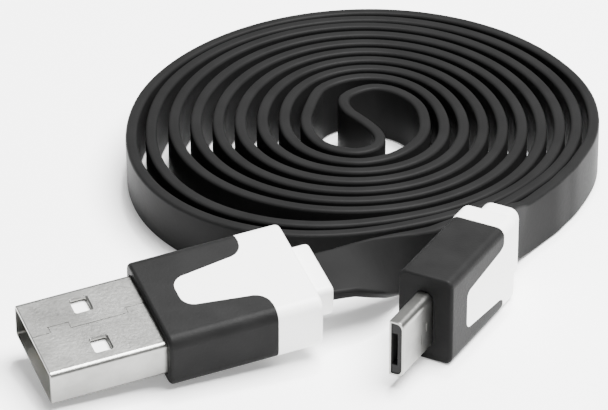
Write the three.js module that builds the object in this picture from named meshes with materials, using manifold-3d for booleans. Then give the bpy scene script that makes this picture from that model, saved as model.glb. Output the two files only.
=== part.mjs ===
// A flat charging cable: a type A plug and a micro plug on one ribbon-like cord, which stands on its
// edge and is wound as a double spiral. Millimetres, +Z up, origin under the middle of the coil.
import * as THREE from "three";
import { mergeVertices } from "three/addons/utils/BufferGeometryUtils.js";
import Module from "manifold-3d";

const wasm = await Module();
wasm.setup();

// ---- Driving dimensions -------------------------------------------------------------------------
const GAP = 0.3; // clearance between mouldings that meet
const CORD = { width: 6.8, thickness: 1.4, chamfer: 0.4 };

// A turn's radius: it grows by pitch in each turn, about a centre that drifts, and is a little oval.
// Near the front the outer turns are pressed in on one side and spring out on the other.
const COIL = {
  first: 7.84,
  pitch: 4.54,
  centreX: [0.15, -0.323], // at the first turn, and how much more in each turn
  centreY: [0.867, -0.054],
  oval: [-1.03, 0.284],
  skew: [0.097, 0.031],
  egg: -0.243,
  bulge: { by: 1.88, at: 232, half: 59, from: 2.95, over: 0.35 }, // degrees, and turns
  press: { by: 1.9, at: -46, half: 71, from: 3.3 },
  tuck: { by: 1.14, at: 128, half: 92, from: 3.3, over: 0.8 },
  typeALeavesAt: -49.5, // degrees
  microLeavesAt: -21,
  play: 0.08, // left free between the coil's solid and the leads
};
const MICRO_ARM = 180; // degrees: where that arm of the spiral begins; the other begins at 0

// Both plugs: x runs from the mouth to the cord, z is the plug's thickness (type A) or width (micro).
const A = {
  place: [-36.13, -45.6, 3.95],
  turn: [10.9, -4.0, 21.2], // degrees: roll, pitch, heading
  shell: { length: 19.4, width: 12.0, height: 4.5, wall: 0.3, corner: 0.6 },
  window: { x: 5.7, length: 1.9, y: 3.25, width: 2.15 },
  cover: { front: 13.2, seam: 25.6, rear: 30.9, width: 14.2, height: 6.9, corner: 1.3, bevel: 0.35, lift: 0 },
  tongue: { tip: 16.6, tipHalf: 2.4, rootHalf: 3.2, rootAt: 23.6, rear: 26.1, rearHalf: 5.4, deep: 0.5 },
  relief: { end: 33.3, width: 8.1, height: 4.0, corner: 0.7 },
  contacts: [
    { y: 3.5, tip: 1.6 },
    { y: 1.0, tip: 2.6 },
    { y: -1.0, tip: 2.6 },
    { y: -3.5, tip: 1.6 },
  ],
};
const M = {
  place: [2.9, -46.24, 5.05],
  turn: [0, 0, 62], // degrees
  shell: { length: 11.8, width: 6.85, thick: 1.8, wall: 0.25, chamferZ: 0.85, chamferY: 0.75 },
  cover: { front: 6.8, seam: 19.6, rear: 23.0, width: 10.6, thick: 6.6, corner: 1.0, bevel: 0.3, lift: 0.25 },
  tongue: { tip: 10.5, tipHalf: 2.4, rootHalf: 3.1, rootAt: 18.0, rear: 20.2, rearHalf: 3.9, deep: 0.5 },
  relief: { end: 26.0, width: 8.6, thick: 4.4, corner: 1.2 },
  contact: { pitch: 0.65, width: 0.35, thick: 0.15, tip: 1.6, root: 7.5, end: 13.2, count: 5 },
  latch: { z: 2.78, width: 0.42, thick: 0.25, hook: 2.5, hookLength: 0.7, root: 9.0, proud: 0.22 },
};

// The free stretches, from the plug to the coil: points chosen along the cord's middle.
const LEAD_A = [
  [-4.85, -33.47, 6.3],
  [-2.6, -32.6, 6.3],
  [0.1, -31.0, 5.7],
  [2.4, -28.6, 4.7],
  [4.7, -26.3, 4.0],
  [7.0, -24.3, 3.55],
  [9.5, -22.35, 3.42],
  [12.35, -20.55, 3.42],
  [15.05, -18.6, 3.42],
];
const LEAD_MICRO = [
  [15.25, -23.02, 5.05],
  [15.6, -22.36, 5.0],
  [16.3, -21.05, 4.45],
  [17.2, -19.4, 3.75],
  [18.4, -17.6, 3.45],
  [20.0, -15.4, 3.42],
  [21.4, -13.5, 3.42],
  [22.65, -11.35, 3.42],
  [23.7, -9.5, 3.42],
];

// ---- Materials ----------------------------------------------------------------------------------
const black = new THREE.MeshStandardMaterial({ color: 0x2e2e2e, roughness: 0.6 });
const cordBlack = new THREE.MeshStandardMaterial({ color: 0x333333, roughness: 0.5 });
const white = new THREE.MeshStandardMaterial({ color: 0xececea, roughness: 0.45 });
const steel = new THREE.MeshStandardMaterial({ color: 0xc4c4be, roughness: 0.3, metalness: 1 });
const brass = new THREE.MeshStandardMaterial({ color: 0xd8b45c, roughness: 0.3, metalness: 1 });
const wireColours = [0xb02020, 0xe8e8e8, 0x2a8a3a, 0x202020];

// ---- Helpers ------------------------------------------------------------------------------------
const part = new THREE.Group();

function addMesh(group, name, geometry, material) {
  const mesh = new THREE.Mesh(geometry, material);
  mesh.name = name;
  group.add(mesh);
  return mesh;
}

function toSolid(geometry) {
  const bare = new THREE.BufferGeometry();
  const flat = geometry.index ? geometry.toNonIndexed() : geometry;
  bare.setAttribute("position", flat.getAttribute("position"));
  const merged = mergeVertices(bare, 1e-4);
  return new wasm.Manifold(
    new wasm.Mesh({
      numProp: 3,
      vertProperties: new Float32Array(merged.attributes.position.array),
      triVerts: new Uint32Array(merged.index.array),
    }),
  );
}

function toGeometry(solid) {
  const mesh = solid.getMesh();
  const geometry = new THREE.BufferGeometry();
  geometry.setAttribute("position", new THREE.BufferAttribute(mesh.vertProperties, 3));
  geometry.setIndex(new THREE.BufferAttribute(mesh.triVerts, 1));
  geometry.computeVertexNormals();
  return geometry;
}

const cut = (base, ...tools) =>
  toGeometry(tools.reduce((solid, tool) => solid.subtract(toSolid(tool)), toSolid(base)));
const join = (...pieces) =>
  toGeometry(pieces.slice(1).reduce((solid, p) => solid.add(toSolid(p)), toSolid(pieces[0])));

// A box between two opposite corners.
function box([x0, y0, z0], [x1, y1, z1]) {
  const geometry = new THREE.BoxGeometry(x1 - x0, y1 - y0, z1 - z0);
  return geometry.translate((x0 + x1) / 2, (y0 + y1) / 2, (z0 + z1) / 2);
}

// A rectangle with round corners, centred on the origin.
function roundRect(width, height, corner) {
  const [w, h] = [width / 2, height / 2];
  const shape = new THREE.Shape();
  shape.moveTo(-w + corner, -h);
  shape.lineTo(w - corner, -h);
  shape.absarc(w - corner, -h + corner, corner, -Math.PI / 2, 0);
  shape.lineTo(w, h - corner);
  shape.absarc(w - corner, h - corner, corner, 0, Math.PI / 2);
  shape.lineTo(-w + corner, h);
  shape.absarc(-w + corner, h - corner, corner, Math.PI / 2, Math.PI);
  shape.lineTo(-w, -h + corner);
  shape.absarc(-w + corner, -h + corner, corner, Math.PI, 1.5 * Math.PI);
  return shape;
}

// A section in (y, z), carried along x from x0 to x1, with its ends bevelled.
const ALONG_X = new THREE.Matrix4().makeBasis(
  new THREE.Vector3(0, 1, 0),
  new THREE.Vector3(0, 0, 1),
  new THREE.Vector3(1, 0, 0),
);
function alongX(shape, x0, x1, bevel = 0) {
  const geometry = new THREE.ExtrudeGeometry(shape, {
    depth: x1 - x0 - 2 * bevel,
    curveSegments: 4,
    bevelEnabled: bevel > 0,
    bevelThickness: bevel,
    bevelSize: bevel,
    bevelOffset: -bevel,
    bevelSegments: 1,
  });
  return geometry.translate(0, 0, x0 + bevel).applyMatrix4(ALONG_X);
}

// The outline of a cover's tongue in (x, side), wide where it meets the rear of the cover.
function tongueShape(t, shrink = 0) {
  const [tip, root, rear] = [t.tipHalf - shrink, t.rootHalf - shrink, t.rearHalf - shrink];
  const front = t.tip + shrink;
  const round = 1.0;
  const shape = new THREE.Shape();
  shape.moveTo(front + round, -tip);
  shape.lineTo(t.rootAt + shrink, -root);
  shape.quadraticCurveTo(t.rear + shrink, -root, t.rear + shrink, -rear);
  shape.lineTo(t.rear + shrink, rear);
  shape.quadraticCurveTo(t.rear + shrink, root, t.rootAt + shrink, root);
  shape.lineTo(front + round, tip);
  shape.quadraticCurveTo(front, tip, front, tip - round);
  shape.lineTo(front, -tip + round);
  shape.quadraticCurveTo(front, -tip, front + round, -tip);
  return shape;
}

// That outline as a plate from one height to another, on either face of a plug: the type A plug's wide
// faces look along z, and the micro plug's look along y.
const ON_SIDE = new THREE.Matrix4().makeBasis(
  new THREE.Vector3(1, 0, 0),
  new THREE.Vector3(0, 0, 1),
  new THREE.Vector3(0, -1, 0),
);
function plate(shape, low, high, onSide) {
  const geometry = new THREE.ExtrudeGeometry(shape, {
    depth: high - low,
    curveSegments: 4,
    bevelEnabled: false,
  }).translate(0, 0, low);
  return onSide ? geometry.applyMatrix4(ON_SIDE) : geometry;
}

// A round wire along points.
function wire(points, radius) {
  const curve = new THREE.CatmullRomCurve3(points.map((p) => new THREE.Vector3(...p)));
  const section = new THREE.Shape().absarc(0, 0, radius, 0, 2 * Math.PI);
  return new THREE.ExtrudeGeometry(section, { steps: 8, curveSegments: 4, extrudePath: curve });
}

const radians = THREE.MathUtils.degToRad;
const smooth = (x) => x * x * (3 - 2 * x);

function plugGroup({ place, turn }) {
  const group = new THREE.Group();
  group.position.set(...place);
  group.rotation.set(...turn.map(radians), "ZYX");
  group.updateMatrixWorld();
  part.add(group);
  return group;
}

// ---- Type A plug --------------------------------------------------------------------------------
const plugA = plugGroup(A);

function typeAShell() {
  const { length, width, height, wall, corner } = A.shell;
  const outer = alongX(roundRect(width, height, corner), 0, length);
  const hollow = alongX(roundRect(width - 2 * wall, height - 2 * wall, corner - wall), -1, length + 1);
  const windows = [];
  for (const side of [-1, 1])
    for (const face of [-1, 1]) {
      const { x, length: l, y, width: w } = A.window;
      const z = (face * height) / 2;
      windows.push(box([x, side * y - w / 2, z - 1], [x + l, side * y + w / 2, z + 1]));
    }
  return cut(outer, hollow, ...windows);
}

// The insulator fills the upper half of the mouth and the whole section behind it.
const CONTACT_A = { low: -0.2, high: 0.0, half: 0.55, tail: 20.4 };
function typeAInsulator() {
  const inside = A.shell.height / 2 - A.shell.wall - GAP;
  const half = A.shell.width / 2 - A.shell.wall - GAP;
  const tongue = box([0.6, -half, GAP], [12.5, half, inside]);
  const block = box([12, -half, -inside], [18.8, half, inside]);
  const slots = A.contacts.map(({ y }) =>
    box(
      [11, y - CONTACT_A.half - GAP, CONTACT_A.low - GAP],
      [20, y + CONTACT_A.half + GAP, CONTACT_A.high + GAP],
    ),
  );
  return cut(join(tongue, block), ...slots);
}

function outerCover(c, onSide) {
  const [across, up] = onSide ? [c.thick, c.width] : [c.width, c.height];
  return (x0, x1) => alongX(roundRect(across, up, c.corner), x0, x1, c.bevel).translate(0, 0, c.lift);
}

function typeABlackCover() {
  const { width, height, corner } = A.shell;
  const top = A.cover.height / 2;
  const body = outerCover(A.cover)(A.cover.front, A.cover.seam);
  const bore = alongX(roundRect(width + 2 * GAP, height + 2 * GAP, corner + GAP), 10, 30);
  const pockets = [-1, 1].map((s) =>
    plate(
      tongueShape(A.tongue),
      s > 0 ? top - A.tongue.deep : -top - 1,
      s > 0 ? top + 1 : -top + A.tongue.deep,
    ),
  );
  return cut(body, bore, ...pockets);
}

// One moulding: the rear block, the two tongues and the strain relief, with a channel for the wires.
function typeAWhiteCover() {
  const top = A.cover.height / 2;
  const block = outerCover(A.cover)(A.cover.seam + GAP, A.cover.rear);
  const relief = alongX(
    roundRect(A.relief.width, A.relief.height, A.relief.corner),
    A.cover.rear - 1,
    A.relief.end,
  );
  const tongues = [-1, 1].map((s) => {
    const inner = s * (top - A.tongue.deep + 0.1);
    const outer = s * top;
    const shape = tongueShape(A.tongue, GAP);
    return plate(shape, Math.min(inner, outer), Math.max(inner, outer));
  });
  const channel = box([20, -WIRE_A.channel, -0.75], [40, WIRE_A.channel, 0.75]);
  return cut(join(block, relief, ...tongues), channel);
}
const WIRE_A = { channel: 3.2, radius: 0.42, pitch: 1.45, start: 20.7, end: 33.1, z: 0 };

function typeAInnerMould() {
  const half = A.shell.width / 2 - 0.1;
  const block = box([19.7, -half, -2.2], [A.cover.seam - 0.1, half, 2.2]);
  return cut(block, box([18, -4.5, -0.75], [27, 4.5, 0.75]));
}

addMesh(plugA, "type_a_shell", typeAShell(), steel);
addMesh(plugA, "type_a_insulator", typeAInsulator(), white);
A.contacts.forEach(({ y, tip }, i) => {
  const { low, high, half, tail } = CONTACT_A;
  addMesh(plugA, `type_a_contact_${i + 1}`, box([tip, y - half, low], [tail, y + half, high]), brass);
});
addMesh(plugA, "type_a_inner_mould", typeAInnerMould(), white);
addMesh(plugA, "type_a_front_cover", typeABlackCover(), black);
addMesh(plugA, "type_a_rear_cover", typeAWhiteCover(), white);
A.contacts.forEach(({ y }, i) => {
  const end = (1.5 - i) * WIRE_A.pitch;
  const { start, end: last, z, radius } = WIRE_A;
  const points = [
    [start, y, z],
    [start + 1.2, y, z],
    [start + 3.6, end, z],
    [last - 4, end, z],
    [last, end, z],
  ];
  const colour = new THREE.MeshStandardMaterial({ color: wireColours[i], roughness: 0.5 });
  addMesh(plugA, `type_a_wire_${i + 1}`, wire(points, radius), colour);
});

// ---- Micro plug ---------------------------------------------------------------------------------
const plugM = plugGroup(M);

// The shell's section in (y, z): flat on the +y side, with two chamfered corners on the -y side.
function microSection(inset) {
  const { width, thick, chamferY, chamferZ } = M.shell;
  const [y, z] = [thick / 2 - inset, width / 2 - inset];
  const cornerY = -y + chamferY - inset / 2;
  const cornerZ = z - chamferZ + inset / 2;
  const shape = new THREE.Shape();
  shape.moveTo(y, -z);
  shape.lineTo(y, z);
  shape.lineTo(cornerY, z);
  shape.lineTo(-y, cornerZ);
  shape.lineTo(-y, -cornerZ);
  shape.lineTo(cornerY, -z);
  return shape;
}

function microShell() {
  const { length, wall, thick } = M.shell;
  const { z, width, hook, hookLength } = M.latch;
  const windows = [-1, 1].map((s) =>
    box(
      [hook - 0.4, thick / 2 - wall - 0.2, s * z - width / 2 - 0.12],
      [hook + hookLength + 0.4, thick / 2 + 1, s * z + width / 2 + 0.12],
    ),
  );
  return cut(alongX(microSection(0), 0, length), alongX(microSection(wall), -1, length + 1), ...windows);
}

const TONGUE_M = { low: -0.55, high: -0.05, half: 2.2, groove: 0.12 };
function contactZ(i) {
  return (i - (M.contact.count - 1) / 2) * M.contact.pitch;
}

// A thin tongue with a groove under each spring contact, and a block behind it that holds them.
function microInsulator() {
  const { low, high, half, groove } = TONGUE_M;
  const { width, count, root } = M.contact;
  const tongue = box([0.4, low, -half], [root + 1, high, half]);
  const block = box([root + 0.4, low, -half], [11.6, 0.55, half]);
  const grooves = Array.from({ length: count }, (_, i) =>
    box([1.2, low + groove, contactZ(i) - width / 2 - 0.1], [root + 0.4, 1, contactZ(i) + width / 2 + 0.1]),
  );
  const slots = Array.from({ length: count }, (_, i) =>
    box([root, -0.12, contactZ(i) - width / 2 - 0.1], [12, 0.32, contactZ(i) + width / 2 + 0.1]),
  );
  return cut(join(tongue, block), ...grooves, ...slots);
}

// A spring contact: a strip from its tail to a tip that is bent up towards the mating contact.
function springContact(i) {
  const { width, thick, tip, end } = M.contact;
  const shape = new THREE.Shape();
  shape.moveTo(end, 0);
  shape.lineTo(end, thick);
  shape.lineTo(4.2, thick);
  shape.lineTo(2.7, thick + 0.22);
  shape.lineTo(2.3, thick + 0.22);
  shape.lineTo(tip, thick - 0.05);
  shape.lineTo(tip, -0.05);
  shape.lineTo(4.0, 0);
  const z = contactZ(i);
  // The profile lies in (x, y), so it is carried along z.
  return new THREE.ExtrudeGeometry(shape, { depth: width, bevelEnabled: false }).translate(
    0,
    0.02,
    z - width / 2,
  );
}

// A latch arm: a strip along one side of the mouth, with a hook that stands out through the window.
function latchArm(side) {
  const { z, width, thick, hook, hookLength, root, proud } = M.latch;
  const low = 0.2;
  const top = M.shell.thick / 2 + proud;
  const shape = new THREE.Shape();
  shape.moveTo(root + 1.5, low);
  shape.lineTo(root + 1.5, low + thick);
  shape.lineTo(hook + hookLength, low + thick);
  shape.lineTo(hook + hookLength, top);
  shape.lineTo(hook + hookLength * 0.6, top);
  shape.lineTo(hook, low + thick);
  shape.lineTo(hook - 0.9, low + thick);
  shape.lineTo(hook - 0.9, low);
  return new THREE.ExtrudeGeometry(shape, { depth: width, bevelEnabled: false }).translate(
    0,
    0,
    side * z - width / 2,
  );
}

function microBlackCover() {
  const side = M.cover.thick / 2;
  const body = outerCover(M.cover, true)(M.cover.front, M.cover.seam);
  const bore = box([4, -0.9 - GAP, -3.425 - GAP], [30, 0.9 + GAP, 3.425 + GAP]);
  const pockets = [-1, 1].map((s) =>
    plate(
      tongueShape(M.tongue),
      s > 0 ? side - M.tongue.deep : -side - 1,
      s > 0 ? side + 1 : -side + M.tongue.deep,
      true,
    ),
  );
  return cut(body, bore, ...pockets);
}

const WIRE_M = { channel: 2.6, half: 0.75, radius: 0.42, pitch: 1.3, start: 13.5, end: 25.8 };
function microWhiteCover() {
  const side = M.cover.thick / 2;
  const block = outerCover(M.cover, true)(M.cover.seam + GAP, M.cover.rear);
  const relief = alongX(
    roundRect(M.relief.thick, M.relief.width, M.relief.corner),
    M.cover.rear - 1,
    M.relief.end,
  ).translate(0, 0, M.cover.lift);
  const tongues = [-1, 1].map((s) => {
    const inner = s * (side - M.tongue.deep + 0.1);
    const outer = s * side;
    return plate(tongueShape(M.tongue, GAP), Math.min(inner, outer), Math.max(inner, outer), true);
  });
  const { channel, half } = WIRE_M;
  return cut(join(block, relief, ...tongues), box([10, -half, -channel], [40, half, channel]));
}

function microInnerMould() {
  const block = box([12.1, -0.95, -3.5], [M.cover.seam - 0.1, 0.95, 3.5]);
  return cut(block, box([11, -0.62, -2.7], [22, 0.62, 2.7]));
}

addMesh(plugM, "micro_shell", microShell(), steel);
addMesh(plugM, "micro_insulator", microInsulator(), black);
for (let i = 0; i < M.contact.count; i++)
  addMesh(plugM, `micro_contact_${i + 1}`, springContact(i), brass);
addMesh(plugM, "micro_latch_upper", latchArm(1), steel);
addMesh(plugM, "micro_latch_lower", latchArm(-1), steel);
addMesh(plugM, "micro_inner_mould", microInnerMould(), white);
addMesh(plugM, "micro_front_cover", microBlackCover(), black);
addMesh(plugM, "micro_rear_cover", microWhiteCover(), white);
for (let i = 0; i < 4; i++) {
  const z = (1.5 - i) * WIRE_M.pitch;
  const { start, end, radius } = WIRE_M;
  const points = [
    [start, 0, z],
    [(start + end) / 2, 0, z],
    [end, 0, z],
  ];
  const colour = new THREE.MeshStandardMaterial({ color: wireColours[i], roughness: 0.5 });
  addMesh(plugM, `micro_wire_${i + 1}`, wire(points, radius), colour);
}

// ---- Cord ---------------------------------------------------------------------------------------
// A flat strip along points; widthAt(s) is the direction of its width at s from 0 to 1.
function strip(points, steps, widthAt) {
  const path = new THREE.CatmullRomCurve3(points.map((p) => new THREE.Vector3(...p)));
  const [w, t, c] = [CORD.width / 2, CORD.thickness / 2, CORD.chamfer];
  const section = new THREE.Shape([
    new THREE.Vector2(-t + c, -w),
    new THREE.Vector2(t - c, -w),
    new THREE.Vector2(t, -w + c),
    new THREE.Vector2(t, w - c),
    new THREE.Vector2(t - c, w),
    new THREE.Vector2(-t + c, w),
    new THREE.Vector2(-t, w - c),
    new THREE.Vector2(-t, -w + c),
  ]);
  const geometry = new THREE.ExtrudeGeometry(section, { depth: 1, steps, bevelEnabled: false });
  const position = geometry.getAttribute("position");
  for (let i = 0; i < position.count; i++) {
    const [a, b, s] = [position.getX(i), position.getY(i), position.getZ(i)];
    const along = path.getTangentAt(s);
    const across = widthAt(s).cross(along).normalize();
    const up = along.clone().cross(across);
    const p = path.getPointAt(s).addScaledVector(across, a).addScaledVector(up, b);
    position.setXYZ(i, p.x, p.y, p.z);
  }
  geometry.computeVertexNormals();
  return geometry;
}

const UP = new THREE.Vector3(0, 0, 1);
// The type A lead leaves the relief lying flat, and stands on its edge before it reaches the coil.
const flatAtPlug = new THREE.Vector3(0, 1, 0).applyQuaternion(plugA.quaternion);
const twist = (s) => flatAtPlug.clone().lerp(UP, smooth(Math.min(s / 0.62, 1))).normalize();

addMesh(part, "cable_type_a_lead", strip(LEAD_A, 16, twist), cordBlack);
addMesh(part, "cable_micro_lead", strip(LEAD_MICRO, 10, () => UP.clone()), cordBlack);

// 1 in the middle of a term's stretch of the turn, and 0 outside it.
function hump(angle, { at, half }) {
  const away = Math.abs(((((angle - at + 180) % 360) + 360) % 360) - 180) / half;
  return away < 1 ? (1 + Math.cos(Math.PI * away)) / 2 : 0;
}
const since = (t, { from, over }) => smooth(THREE.MathUtils.clamp((t - from) / over, 0, 1));

// The radius of the cord's middle after t turns.
function turnRadius(t, angle) {
  const a = radians(angle);
  const at = ([first, more]) => first + more * t;
  const { first, pitch, centreX, centreY, oval, skew, egg, bulge, press, tuck } = COIL;
  return (
    first +
    pitch * t +
    at(centreX) * Math.cos(a) +
    at(centreY) * Math.sin(a) +
    at(oval) * Math.cos(2 * a) +
    at(skew) * Math.sin(2 * a) +
    egg * Math.sin(3 * a) +
    bulge.by * hump(angle, bulge) * since(t, bulge) -
    press.by * hump(angle, press) * Math.max(0, t - press.from) -
    tuck.by * hump(angle, tuck) * since(t, tuck)
  );
}

// The coil's outer shape follows the micro plug's arm round the back, and the other arm where the
// first has left.
function coilOutline() {
  const { typeALeavesAt, microLeavesAt, play } = COIL;
  const stretches = [
    [microLeavesAt, typeALeavesAt + 360, MICRO_ARM],
    [typeALeavesAt, microLeavesAt, 0],
  ];
  const points = [];
  for (const [from, to, start] of stretches) {
    const steps = Math.round((to - from) / 5);
    for (let i = 0; i <= steps; i++) {
      const angle = from + ((to - from) * i) / steps;
      const r = turnRadius(4 + (start - angle) / 360, angle) + CORD.thickness / 2 - play;
      points.push(new THREE.Vector2(r * Math.cos(radians(angle)), r * Math.sin(radians(angle))));
    }
  }
  return new THREE.Shape(points);
}

addMesh(
  part,
  "cable_coil",
  new THREE.ExtrudeGeometry(coilOutline(), { depth: CORD.width, bevelEnabled: false }),
  cordBlack,
);

export default part;
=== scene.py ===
"""Looks of a flat charging cable that stands on its edge, wound as a double spiral.

The plugs and the cord are built in millimetres, in the places that the CAD part has, and turned into
metres when they are put in the scene. The cord is 0.04 mm thinner than the CAD's.
"""

import math

import bmesh
import bpy
import numpy as np
from mathutils import Euler, Matrix, Vector


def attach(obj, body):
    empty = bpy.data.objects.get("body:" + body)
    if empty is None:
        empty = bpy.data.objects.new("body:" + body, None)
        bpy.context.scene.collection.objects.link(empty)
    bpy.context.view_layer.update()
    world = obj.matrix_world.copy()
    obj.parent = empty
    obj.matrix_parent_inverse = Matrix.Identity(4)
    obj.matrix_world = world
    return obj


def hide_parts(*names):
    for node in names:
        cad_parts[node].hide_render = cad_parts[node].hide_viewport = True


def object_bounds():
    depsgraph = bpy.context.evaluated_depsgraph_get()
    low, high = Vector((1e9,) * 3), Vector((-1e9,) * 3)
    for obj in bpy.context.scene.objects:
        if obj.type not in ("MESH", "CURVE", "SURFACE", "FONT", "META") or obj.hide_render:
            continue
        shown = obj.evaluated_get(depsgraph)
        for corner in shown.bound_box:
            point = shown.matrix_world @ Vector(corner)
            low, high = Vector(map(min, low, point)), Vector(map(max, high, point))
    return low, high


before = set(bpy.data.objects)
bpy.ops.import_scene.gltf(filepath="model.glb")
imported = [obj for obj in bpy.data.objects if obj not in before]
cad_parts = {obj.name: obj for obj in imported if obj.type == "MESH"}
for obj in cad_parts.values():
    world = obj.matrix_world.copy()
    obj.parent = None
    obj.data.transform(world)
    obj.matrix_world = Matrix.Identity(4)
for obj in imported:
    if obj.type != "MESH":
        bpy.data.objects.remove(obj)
cad_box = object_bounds()
MM = 0.001

# ---- Camera -------------------------------------------------------------------------------------
CAMERA = {"place": (-7.0, -448.1, 262.64), "elevation": 30.8, "lens": 263.4}


def add_camera():
    data = bpy.data.cameras.new("camera")
    data.lens = CAMERA["lens"]
    data.clip_start, data.clip_end = 0.05, 5.0
    camera = bpy.data.objects.new("camera", data)
    camera.location = Vector(CAMERA["place"]) * MM
    camera.rotation_euler = (math.radians(90 - CAMERA["elevation"]), 0, 0)
    bpy.context.scene.collection.objects.link(camera)
    bpy.context.scene.camera = camera


add_camera()

# ---- The cord's route ---------------------------------------------------------------------------
CORD = {"width": 6.8, "thickness": 1.36, "corner": 0.4, "lift": 0.02}
STEP = 0.8  # mm between the rings of the cord's mesh

# A turn's radius: it grows by pitch in each turn, about a centre that drifts, and is a little oval.
# Near the front the outer turns are pressed in on one side and spring out on the other.
COIL = {
    "first": 7.84,
    "pitch": 4.54,
    "centre_x": (0.15, -0.323),
    "centre_y": (0.867, -0.054),
    "oval": (-1.03, 0.284),
    "skew": (0.097, 0.031),
    "egg": -0.243,
    "bulge": {"by": 1.88, "at": 232, "half": 59, "from": 2.95, "over": 0.35},
    "press": {"by": 1.9, "at": -46, "half": 71, "from": 3.3},
    "tuck": {"by": 1.14, "at": 128, "half": 92, "from": 3.3, "over": 0.8},
    "lean": {"by": 0.13, "at": -135, "half": 50, "from": 3.25, "over": 0.1},
}
TYPE_A_ARM, MICRO_ARM = 0.0, 180.0  # degrees: where each arm of the spiral begins

# The stretches that aren't coiled, as points along the cord's middle.
LEAD_A = [
    (-4.85, -33.47, 6.3),
    (-2.6, -32.6, 6.3),
    (0.1, -31.0, 5.7),
    (2.4, -28.6, 4.7),
    (4.7, -26.3, 4.0),
    (7.0, -24.3, 3.55),
    (9.5, -22.35, 3.42),
    (12.35, -20.55, 3.42),
    (15.05, -18.6, 3.42),
]
LEAD_MICRO = [
    (15.25, -23.02, 5.05),
    (15.6, -22.36, 5.0),
    (16.3, -21.05, 4.45),
    (17.2, -19.4, 3.75),
    (18.4, -17.6, 3.45),
    (20.0, -15.4, 3.42),
    (21.4, -13.5, 3.42),
    (22.65, -11.35, 3.42),
    (23.7, -9.5, 3.42),
]
MIDDLE = [
    (3.0, -7.65),
    (5.4, -5.3),
    (6.75, -2.4),
    (7.0, 0.7),
    (6.5, 3.9),
    (5.1, 6.4),
    (3.05, 8.1),
    (1.0, 8.5),
    (-0.9, 7.6),
    (-2.2, 6.2),
    (-2.35, 4.6),
    (-1.7, 2.75),
    (-0.5, 1.1),
    (0.6, -0.5),
    (1.5, -2.3),
    (1.75, -3.9),
    (1.1, -5.6),
    (-0.8, -6.6),
    (-2.95, -6.2),
    (-4.95, -4.85),
    (-6.25, -2.4),
    (-6.75, 0.7),
    (-6.4, 3.6),
]


def clamp(x):
    return min(max(x, 0.0), 1.0)


def smooth(x):
    return clamp(x) ** 2 * (3 - 2 * clamp(x))


def hump(angle, term):
    """1 in the middle of a term's stretch of the turn, and 0 outside it."""
    away = abs((angle - term["at"] + 180) % 360 - 180) / term["half"]
    return (1 + math.cos(math.pi * away)) / 2 if away < 1 else 0.0


def since(t, term):
    return smooth((t - term["from"]) / term["over"])


def turn_radius(t, angle):
    """The radius of the cord's top edge after t turns, in mm."""
    a = math.radians(angle)
    at = {k: v[0] + v[1] * t for k, v in COIL.items() if isinstance(v, tuple)}
    bulge, press, tuck = COIL["bulge"], COIL["press"], COIL["tuck"]
    return (
        COIL["first"]
        + COIL["pitch"] * t
        + at["centre_x"] * math.cos(a)
        + at["centre_y"] * math.sin(a)
        + at["oval"] * math.cos(2 * a)
        + at["skew"] * math.sin(2 * a)
        + COIL["egg"] * math.sin(3 * a)
        + bulge["by"] * hump(angle, bulge) * since(t, bulge)
        - press["by"] * hump(angle, press) * max(0, t - press["from"])
        - tuck["by"] * hump(angle, tuck) * since(t, tuck)
    )


def arm(start, first, last, per_turn=36):
    """Points and width directions of one arm of the spiral, from one number of turns to another."""
    steps = round(abs(last - first) * per_turn)
    made = []
    for i in range(steps + 1):
        t = first + (last - first) * i / steps
        angle = start - 360 * t
        out = Vector((math.cos(math.radians(angle)), math.sin(math.radians(angle)), 0))
        lean = COIL["lean"]["by"] * hump(angle, COIL["lean"]) * since(t, COIL["lean"])
        across = (Vector((0, 0, 1)) + lean * out).normalized()
        top = turn_radius(t, angle)
        middle = out * (top - lean * CORD["width"] / 2)
        middle.z = CORD["width"] / 2 + CORD["lift"]
        made.append((middle, across))
    return made


def through(points, widths):
    """A smooth line through the points, STEP apart, and the width direction all along it."""
    p, w = np.array(points, float), np.array(widths, float)
    spans = np.linalg.norm(np.diff(p, axis=0), axis=1)
    knots = np.concatenate([[0], np.cumsum(np.sqrt(spans))])
    slopes = np.gradient(p, knots, axis=0)
    line, across = [], []
    for i, span in enumerate(spans):
        h = knots[i + 1] - knots[i]
        count = max(1, round(span / STEP))
        for s in (j / count for j in range(count)):
            line.append(
                (2 * s**3 - 3 * s**2 + 1) * p[i]
                + (s**3 - 2 * s**2 + s) * h * slopes[i]
                + (3 * s**2 - 2 * s**3) * p[i + 1]
                + (s**3 - s**2) * h * slopes[i + 1]
            )
            across.append(w[i] + (w[i + 1] - w[i]) * s)
    line.append(p[-1])
    across.append(w[-1])
    return np.array(line), np.array(across)


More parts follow.
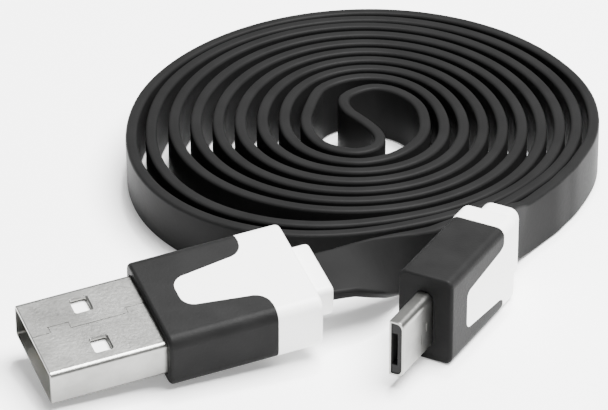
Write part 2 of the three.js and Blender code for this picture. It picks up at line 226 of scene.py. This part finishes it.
# ---- The plugs' sizes, in mm. x runs from the mouth to the cord ---------------------------------
A = {
    "place": (-36.13, -45.6, 3.95),
    "turn": (10.9, -4.0, 21.2),
    "shell": {"length": 19.4, "width": 12.0, "height": 4.5, "wall": 0.3, "corner": 0.6},
    "window": {"x": 5.7, "length": 1.9, "y": 3.25, "width": 2.15, "corner": 0.3, "rim": 0.12},
    "cover": {"front": 13.2, "seam": 25.6, "rear": 30.9, "width": 14.2, "height": 6.9, "corner": 1.3},
    "tongue": {"tip": 16.6, "half": 2.4, "nose": 1.7, "root": 23.6, "root_half": 3.2, "rear_half": 5.2},
    "relief": {"end": 33.3, "width": 8.1, "height": 4.0, "corner": 0.7},
    "lift": 0.0,
}
M = {
    "place": (2.9, -46.24, 5.05),
    "turn": (0, 0, 62),
    "shell": {"length": 11.8, "width": 6.85, "thick": 1.8, "wall": 0.25, "cut_z": 0.85, "cut_y": 0.75},
    "cover": {"front": 6.8, "seam": 19.6, "rear": 23.0, "width": 10.6, "thick": 6.6, "corner": 1.0},
    "tongue": {"tip": 10.5, "half": 2.4, "nose": 0.9, "root": 18.1, "root_half": 3.1, "rear_half": 3.9},
    "relief": {"end": 26.0, "width": 8.6, "thick": 4.4, "corner": 1.2},
    "lift": 0.25,  # the mouldings' middle is that much over the shell's
    "latch_z": 2.78,
    "contact_pitch": 0.65,
}
TONGUE_DEEP = 0.5
EDGE = 0.07  # how far the mouldings' small edges are rounded
SEAM_GAP = 0.02  # between a black cover and the white one behind it


def placed(plug):
    """From a plug's own millimetres to the row frame's metres."""
    turn = Euler([math.radians(d) for d in plug["turn"]], "XYZ").to_matrix().to_4x4()
    return Matrix.Scale(MM, 4) @ Matrix.Translation(plug["place"]) @ turn


# ---- Materials ----------------------------------------------------------------------------------
def node(tree, kind, **values):
    made = tree.nodes.new(kind)
    for name, value in values.items():
        if hasattr(made, name):
            setattr(made, name, value)
        else:
            made.inputs[name.replace("_", " ")].default_value = value
    return made


def finish_of(slot, colour, roughness, metallic=0.0, grain=2500.0, bump=0.02, mottle=0.1, **sockets):
    """A moulded, drawn or plated surface: fine grain in its relief, and slow mottling in its colour."""
    made = bpy.data.materials.new(slot)
    made.use_nodes = True
    tree = made.node_tree
    shader = tree.nodes["Principled BSDF"]
    shader.inputs["Metallic"].default_value = metallic
    for name, value in sockets.items():
        shader.inputs[name.replace("_", " ")].default_value = value
    place = node(tree, "ShaderNodeTexCoord").outputs["Object"]

    fine = node(tree, "ShaderNodeTexNoise", Scale=grain, Detail=4.0, Roughness=0.6)
    slow = node(tree, "ShaderNodeTexNoise", Scale=grain / 12, Detail=3.0, Roughness=0.55)
    for noise in (fine, slow):
        tree.links.new(place, noise.inputs["Vector"])

    tint = node(tree, "ShaderNodeValToRGB")
    low, high = tint.color_ramp.elements
    low.position, high.position = 0.3, 0.7
    low.color = [c * (1 - mottle) for c in colour] + [1]
    high.color = [min(1, c * (1 + mottle)) for c in colour] + [1]
    tree.links.new(slow.outputs["Fac"], tint.inputs["Fac"])
    tree.links.new(tint.outputs["Color"], shader.inputs["Base Color"])

    shine = node(tree, "ShaderNodeMapRange")
    shine.inputs["To Min"].default_value = roughness * 0.85
    shine.inputs["To Max"].default_value = min(1, roughness * 1.15)
    tree.links.new(fine.outputs["Fac"], shine.inputs["Value"])
    tree.links.new(shine.outputs["Result"], shader.inputs["Roughness"])

    relief = node(tree, "ShaderNodeBump", Strength=0.5, Distance=bump * MM)
    tree.links.new(fine.outputs["Fac"], relief.inputs["Height"])
    tree.links.new(relief.outputs["Normal"], shader.inputs["Normal"])
    return made


MATERIALS = {
    "shell_metal": finish_of("shell_metal", (0.25, 0.25, 0.24), 0.3, 1.0, 2600, 0.03, 0.2),
    "contact_gold": finish_of("contact_gold", (0.83, 0.62, 0.28), 0.28, 1.0, 3000, 0.01, 0.06),
    "insulator_white": finish_of("insulator_white", (0.84, 0.84, 0.82), 0.4, 0, 2500, 0.01, 0.03),
    "insulator_black": finish_of(
        "insulator_black", (0.02, 0.02, 0.02), 0.5, 0, 2500, 0.01, 0.1, Specular_IOR_Level=0.05
    ),
    "cover_black": finish_of(
        "cover_black", (0.0085, 0.0085, 0.0085), 0.48, 0, 3200, 0.07, 0.15, Specular_IOR_Level=0.045
    ),
    "cover_white": finish_of("cover_white", (0.84, 0.84, 0.83), 0.42, 0, 1800, 0.015, 0.02),
    "inner_mould": finish_of("inner_mould", (0.7, 0.7, 0.68), 0.5, 0, 2000, 0.02, 0.05),
    "cord_black": finish_of(
        "cord_black", (0.0085, 0.0085, 0.0085), 0.42, 0, 2200, 0.02, 0.12, Specular_IOR_Level=0.022
    ),
    "wire_red": finish_of("wire_red", (0.5, 0.03, 0.03), 0.45, 0, 2500, 0.01, 0.08),
    "wire_white": finish_of("wire_white", (0.8, 0.8, 0.8), 0.45, 0, 2500, 0.01, 0.05),
    "wire_green": finish_of("wire_green", (0.03, 0.28, 0.07), 0.45, 0, 2500, 0.01, 0.08),
    "wire_black": finish_of("wire_black", (0.03, 0.03, 0.03), 0.45, 0, 2500, 0.01, 0.1),
}


# ---- Mesh helpers, in a plug's own millimetres --------------------------------------------------
def add_object(name, bm):
    bmesh.ops.recalc_face_normals(bm, faces=bm.faces)
    mesh = bpy.data.meshes.new(name)
    bm.to_mesh(mesh)
    bm.free()
    made = bpy.data.objects.new(name, mesh)
    bpy.context.scene.collection.objects.link(made)
    return made


def rounded(width, height, corner, x=0.0, segments=6):
    """A rectangle with round corners at x, width along y and height along z."""
    points = []
    for i, (sy, sz) in enumerate([(1, 1), (-1, 1), (-1, -1), (1, -1)]):
        for k in range(segments + 1):
            a = math.radians(90 * (i + k / segments))
            points.append(
                (
                    x,
                    sy * (width / 2 - corner) + corner * math.cos(a),
                    sz * (height / 2 - corner) + corner * math.sin(a),
                )
            )
    return points


def loft(name, rings):
    """A closed body through rings of as many points each."""
    bm = bmesh.new()
    rows = [[bm.verts.new(p) for p in ring] for ring in rings]
    for a, b in zip(rows, rows[1:]):
        for i in range(len(a)):
            j = (i + 1) % len(a)
            bm.faces.new((a[i], a[j], b[j], b[i]))
    bm.faces.new(rows[0])
    bm.faces.new(rows[-1][::-1])
    return add_object(name, bm)


def block(name, x0, x1, width, height, corner, front=0.4, rear=0.4, steps=4):
    """A block along x with round corners, and its front and rear edges rounded to those radii."""
    turns = [math.radians(90 * k / steps) for k in range(steps + 1)]
    ends = [(x0 + front * (1 - math.sin(a)), front * (1 - math.cos(a))) for a in reversed(turns)]
    ends += [(x1 - rear * (1 - math.sin(a)), rear * (1 - math.cos(a))) for a in turns]
    rings = []
    for x, inset in ends:
        rings.append(rounded(width - 2 * inset, height - 2 * inset, max(corner - inset, 0.05), x))
    return loft(name, rings)


def prism(name, outline, low, high, to_axes):
    """A plate with that outline between two heights; to_axes turns (x, side, height) into a point."""
    bm = bmesh.new()
    rows = [[bm.verts.new(to_axes(x, s, h)) for x, s in outline] for h in (low, high)]
    for i in range(len(outline)):
        j = (i + 1) % len(outline)
        bm.faces.new((rows[0][i], rows[0][j], rows[1][j], rows[1][i]))
    bm.faces.new(rows[0])
    bm.faces.new(rows[1][::-1])
    return add_object(name, bm)


def baked(piece):
    """The piece with its modifiers applied."""
    bpy.context.view_layer.update()
    ready = piece.evaluated_get(bpy.context.evaluated_depsgraph_get())
    mesh = bpy.data.meshes.new_from_object(ready)
    piece.modifiers.clear()
    piece.data = mesh
    return piece


def combined(piece, operation, *tools):
    for tool in tools:
        change = piece.modifiers.new("shape", "BOOLEAN")
        change.operation, change.solver, change.object = operation, "EXACT", tool
        baked(piece)
        bpy.data.objects.remove(tool)
    return piece


def eased(piece, width, segments=2, angle=35):
    """Small round edges wherever two faces meet at more than that angle."""
    ease = piece.modifiers.new("ease", "BEVEL")
    ease.width, ease.segments, ease.angle_limit = width, segments, math.radians(angle)
    ease.limit_method = "ANGLE"
    return baked(piece)


def smoothed(piece, angle=40):
    for face in piece.data.polygons:
        face.use_smooth = True
    piece.data.set_sharp_from_angle(angle=math.radians(angle))
    piece.modifiers.new("shading", "WEIGHTED_NORMAL").keep_sharp = True
    return baked(piece)


def finished(piece, plug, slot, *nodes):
    """Puts a plug's piece in its place, with its material, riding on the root body."""
    smoothed(piece)
    piece.data.transform(placed(plug))
    piece.data.materials.clear()
    piece.data.materials.append(MATERIALS[slot])
    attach(piece, "root")
    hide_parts(*nodes)
    return piece


def tongue_outline(plug):
    """A cover's tongue from above, (x, side): round at its tip, and it flares where it meets the rear."""
    t, seam = plug["tongue"], plug["cover"]["seam"]
    half = []
    for k in range(7):  # the nose, from the middle line to the side
        a = math.radians(90 * k / 6)
        half.append((t["tip"] + t["nose"] * (1 - math.cos(a)), t["half"] - t["nose"] * (1 - math.sin(a))))
    for k in range(7):  # the flare, a quarter of a round
        a = math.radians(90 * k / 6)
        spread = t["rear_half"] - t["root_half"]
        x = t["root"] + (seam - t["root"]) * math.sin(a)
        half.append((x, t["root_half"] + spread * (1 - math.cos(a))))
    half.append((seam + 0.3, t["rear_half"]))
    return half + [(x, -s) for x, s in reversed(half)]


def on_top(x, side, height):
    return (x, side, height)


def on_side(x, side, height):
    return (x, -height, side)


# ---- Type A plug --------------------------------------------------------------------------------
# The shell's seam on its upper face, from the cover to the mouth: a zigzag that locks the sheet.
SEAM_A = [
    (13.3, 1.07),
    (11.0, 1.07),
    (10.9, 0.25),
    (4.5, 0.25),
    (4.4, 1.2),
    (2.2, 1.2),
    (2.1, 0.3),
    (-0.1, 0.3),
]
SEAM = {"half": 0.036, "deep": 0.08}


def box(name, low, high):
    x0, y0, z0 = low
    x1, y1, z1 = high
    ring = [(y0, z0), (y1, z0), (y1, z1), (y0, z1)]
    return loft(name, [[(x, y, z) for y, z in ring] for x in (x0, x1)])


def type_a_window(side, face):
    """What is cut away for a window: it is a little wider at the top, towards the rear and one side."""
    w, top = A["window"], A["shell"]["height"] / 2
    middle = w["x"] + w["length"] / 2
    rings = []
    for over, more in ((0.2, w["rim"]), (-0.02, w["rim"]), (-0.16, 0), (-1, 0)):
        flat = rounded(w["length"] + 2 * more, w["width"] + 2 * more, w["corner"])
        shift = more / 2
        z = face * (top + over)
        rings.append([(middle + shift + a, side * w["y"] + shift + b, z) for _, a, b in flat])
    return loft("window", rings)


def type_a_shell():
    s = A["shell"]
    wall, top = s["wall"], s["height"] / 2
    shell = block("type_a_shell_metal", 0, s["length"], s["width"], s["height"], s["corner"], 0.12, 0.05)
    hollow = loft(
        "hollow",
        [
            rounded(s["width"] - 2 * wall, s["height"] - 2 * wall, s["corner"] - wall, x)
            for x in (-1, s["length"] + 1)
        ],
    )
    windows = [type_a_window(side, face) for side in (-1, 1) for face in (-1, 1)]
    grooves = []
    for (xa, ya), (xb, yb) in zip(SEAM_A, SEAM_A[1:]):
        grooves.append(
            box(
                "groove",
                (min(xa, xb) - SEAM["half"], min(ya, yb) - SEAM["half"], top - SEAM["deep"]),
                (max(xa, xb) + SEAM["half"], max(ya, yb) + SEAM["half"], top + 1),
            )
        )
    combined(shell, "DIFFERENCE", hollow, *windows, *grooves)
    return finished(eased(shell, 0.03, 1), A, "shell_metal", "type_a_shell")


def pocketed(cover, plug, top, to_axes):
    """The cover with a pocket for a tongue on each of its wide faces."""
    deep = TONGUE_DEEP
    for low, high in ((top - deep, top + 1), (-top - 1, -top + deep)):
        combined(cover, "DIFFERENCE", prism("pocket", tongue_outline(plug), low, high, to_axes))
    return cover


def tongues(plug, top, to_axes):
    deep = TONGUE_DEEP - SEAM_GAP
    return [
        prism("tongue", tongue_outline(plug), *sorted((s * (top - deep), s * top)), to_axes)
        for s in (1, -1)
    ]


def type_a_covers():
    c, s, r = A["cover"], A["shell"], A["relief"]
    top = c["height"] / 2
    size = (c["width"], c["height"], c["corner"])
    front = block("type_a_front_cover_moulding", c["front"], c["seam"], *size, front=0.4, rear=0.1)
    gap = 0.1
    bore = loft(
        "bore",
        [rounded(s["width"] + 2 * gap, s["height"] + 2 * gap, s["corner"] + gap, x) for x in (10, 30)],
    )
    combined(front, "DIFFERENCE", bore)
    pocketed(front, A, top, on_top)
    finished(eased(front, EDGE), A, "cover_black", "type_a_front_cover")

    start = c["seam"] + SEAM_GAP
    rear = block("type_a_rear_cover_moulding", start, c["rear"], *size, front=0.05, rear=0.6)
    size = (r["width"], r["height"], r["corner"])
    relief = block("relief", c["rear"] - 1, r["end"], *size, front=0.1, rear=0.5)
    combined(rear, "UNION", relief, *tongues(A, top, on_top))
    finished(eased(rear, EDGE), A, "cover_white", "type_a_rear_cover")


# ---- Micro plug ---------------------------------------------------------------------------------
def micro_ring(inset, x):
    """The micro shell's section: two round corners on its -y side, and nearly square ones on +y."""
    s = M["shell"]
    y, z = s["thick"] / 2 - inset, s["width"] / 2 - inset
    cut_y, cut_z = s["cut_y"] - inset * 0.5, s["cut_z"] - inset * 0.5
    small = max(0.18 - inset * 0.5, 0.04)
    points = []
    for k in range(4):
        a = math.radians(30 * k)
        points.append((y - small + small * math.cos(a), z - small + small * math.sin(a)))
    for k in range(7):
        a = math.radians(90 + 15 * k)
        points.append((-y + cut_y + cut_y * math.cos(a), z - cut_z + cut_z * math.sin(a)))
    return [(x, a, b) for a, b in points + [(a, -b) for a, b in reversed(points)]]


def micro_shell():
    s = M["shell"]
    wall = s["wall"]
    mouth_edge = [micro_ring(0.08, 0), micro_ring(0.02, 0.05), micro_ring(0, 0.15)]
    shell = loft("micro_shell_metal", mouth_edge + [micro_ring(0, s["length"])])
    hollow = loft("hollow", [micro_ring(wall, x) for x in (-1, s["length"] + 1)])
    windows = [
        box(
            "window",
            (2.1, s["thick"] / 2 - wall - 0.2, side * M["latch_z"] - 0.33),
            (3.6, s["thick"] / 2 + 1, side * M["latch_z"] + 0.33),
        )
        for side in (-1, 1)
    ]
    # Two pressed marks, on the side with the round corners.
    marks = [
        box("mark", (x, -s["thick"] / 2 - 1, low), (x + 0.22, -s["thick"] / 2 + 0.1, low + 1.2))
        for x, low in ((4.1, -1.5), (5.3, -0.6))
    ]
    combined(shell, "DIFFERENCE", hollow, *windows, *marks)
    return finished(eased(shell, 0.03, 1), M, "shell_metal", "micro_shell")


def micro_mouth():
    """The insulator: it fills the mouth but for the slot, and has room for what springs in behind it."""
    body = loft("micro_mouth_insulator", [micro_ring(M["shell"]["wall"] + 0.02, x) for x in (0.12, 11.6)])
    rooms = [box("slot", (-1, -0.1, -2.1), (7.0, 0.6, 1.85))]
    for side in (-1, 1):
        z = side * M["latch_z"]
        rooms.append(box("latch_room", (1.4, -0.28, z - 0.27), (10.6, 0.9, z + 0.27)))
    for i in range(5):
        z = (i - 2) * M["contact_pitch"]
        rooms.append(box("contact_room", (0.9, -0.42, z - 0.25), (7.9, 0.3, z + 0.25)))
        rooms.append(box("tail_room", (7.0, -0.06, z - 0.25), (12, 0.5, z + 0.25)))
    combined(body, "DIFFERENCE", *rooms)
    return finished(eased(body, 0.02, 1), M, "insulator_black", "micro_insulator")


def micro_covers():
    c, r = M["cover"], M["relief"]
    side = c["thick"] / 2
    lifted = Matrix.Translation((0, 0, M["lift"]))
    size = (c["thick"], c["width"], c["corner"])
    front = block("micro_front_cover_moulding", c["front"], c["seam"], *size, front=0.35, rear=0.1)
    front.data.transform(lifted)
    combined(front, "DIFFERENCE", loft("bore", [micro_ring(-0.07, x) for x in (4, 30)]))
    pocketed(front, M, side, on_side)
    finished(eased(front, EDGE), M, "cover_black", "micro_front_cover")

    start = c["seam"] + SEAM_GAP
    rear = block("micro_rear_cover_moulding", start, c["rear"], *size, front=0.05, rear=0.9)
    size = (r["thick"], r["width"], r["corner"])
    relief = block("relief", c["rear"] - 1.5, r["end"], *size, front=0.1, rear=0.6)
    for piece in (rear, relief):
        piece.data.transform(lifted)
    combined(rear, "UNION", relief, *tongues(M, side, on_side))
    finished(eased(rear, EDGE), M, "cover_white", "micro_rear_cover")


# ---- Cord ---------------------------------------------------------------------------------------
def inside(plug):
    """A point on the cord's middle, just inside a plug's strain relief."""
    return placed(plug) @ Vector((plug["relief"]["end"] - 0.6, 0, 0)) / MM


def cord_route():
    """The whole cord, from the type A plug to the micro plug."""
    up = Vector((0, 0, 1))
    flat = Euler([math.radians(d) for d in A["turn"]], "XYZ").to_matrix() @ Vector((0, 1, 0))
    spans = [0] + [(Vector(b) - Vector(a)).length for a, b in zip(LEAD_A, LEAD_A[1:])]
    gone = np.cumsum(spans) / sum(spans)
    route = [(inside(A), flat)]
    route += [(p, flat.lerp(up, smooth(s / 0.62)).normalized()) for p, s in zip(LEAD_A, gone)]
    route += arm(TYPE_A_ARM, 4.1, 0.25)
    height = CORD["width"] / 2 + CORD["lift"]
    route += [((x, y, height), up) for x, y in MIDDLE]
    route += arm(MICRO_ARM, 0.16, 4.52)
    route += [(p, up) for p in reversed(LEAD_MICRO)] + [(inside(M), up)]
    return through([p for p, _ in route], [w for _, w in route])


def cord_section(segments=3):
    """(across the thickness, across the width) round the flat cord, with round corners."""
    flat = rounded(CORD["thickness"], CORD["width"], CORD["corner"], segments=segments)
    return [(a, b) for _, a, b in flat]


def add_cord():
    line, across = cord_route()
    along = np.gradient(line, axis=0)
    along /= np.linalg.norm(along, axis=1)[:, None]
    side = np.cross(along, across)
    side /= np.linalg.norm(side, axis=1)[:, None]
    width = np.cross(side, along)
    section = cord_section()
    rings = [
        [line[i] + a * side[i] + b * width[i] for a, b in section] for i in range(len(line))
    ]
    cord = loft("cable_jacket", rings)
    smoothed(cord, 60)
    cord.data.transform(Matrix.Scale(MM, 4))
    cord.data.materials.append(MATERIALS["cord_black"])
    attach(cord, "root")
    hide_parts("cable_coil", "cable_type_a_lead", "cable_micro_lead")
    length = float(np.linalg.norm(np.diff(line, axis=0), axis=1).sum()) * MM
    return cord, line * MM, length


type_a_shell()
type_a_covers()
micro_shell()
micro_mouth()
micro_covers()
cord, line, length = add_cord()

# ---- The CAD's own pieces, in their materials ---------------------------------------------------
NODE_SLOTS = [
    ("type_a_insulator", "insulator_white"),
    ("inner_mould", "inner_mould"),
    ("contact", "contact_gold"),
    ("latch", "shell_metal"),
    ("wire_1", "wire_red"),
    ("wire_2", "wire_white"),
    ("wire_3", "wire_green"),
    ("wire_4", "wire_black"),
]
for name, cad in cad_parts.items():
    for part, slot in NODE_SLOTS:
        if part in name and not cad.hide_render:
            cad.data.materials.clear()
            cad.data.materials.append(MATERIALS[slot])


# ---- Floor and light ----------------------------------------------------------------------------
FLOOR = {"half": 0.9, "colour": 0.9, "glow": 0.3}
WORLD = 0.4


def add_floor():
    bm = bmesh.new()
    bmesh.ops.create_grid(bm, x_segments=2, y_segments=2, size=FLOOR["half"])
    floor = add_object("floor", bm)
    floor.location.z = cad_box[0].z
    paper = bpy.data.materials.new("pale_floor")
    paper.use_nodes = True
    shader = paper.node_tree.nodes["Principled BSDF"]
    shader.inputs["Base Color"].default_value = [FLOOR["colour"]] * 3 + [1]
    shader.inputs["Roughness"].default_value = 0.8
    shader.inputs["Emission Color"].default_value = [1, 1, 1, 1]
    shader.inputs["Emission Strength"].default_value = FLOOR["glow"]
    floor.data.materials.append(paper)


def add_lamp(name, place, aim, size, power):
    data = bpy.data.lights.new(name, "AREA")
    data.shape, data.size, data.energy = "DISK", size, power
    lamp = bpy.data.objects.new(name, data)
    lamp.location = place
    lamp.rotation_euler = (Vector(aim) - Vector(place)).to_track_quat("-Z", "Y").to_euler()
    bpy.context.scene.collection.objects.link(lamp)


add_floor()
add_lamp("top_light", (0.18, 0.0, 0.58), (0, 0, 0), 0.5, 25.0)
add_lamp("small_light", (0.03, 0.12, 0.6), (0, 0, 0), 0.05, 2.5)
world = bpy.data.worlds.new("studio")
world.use_nodes = True
world.node_tree.nodes["Background"].inputs["Color"].default_value = (1, 1, 1, 1)
world.node_tree.nodes["Background"].inputs["Strength"].default_value = WORLD
bpy.context.scene.world = world
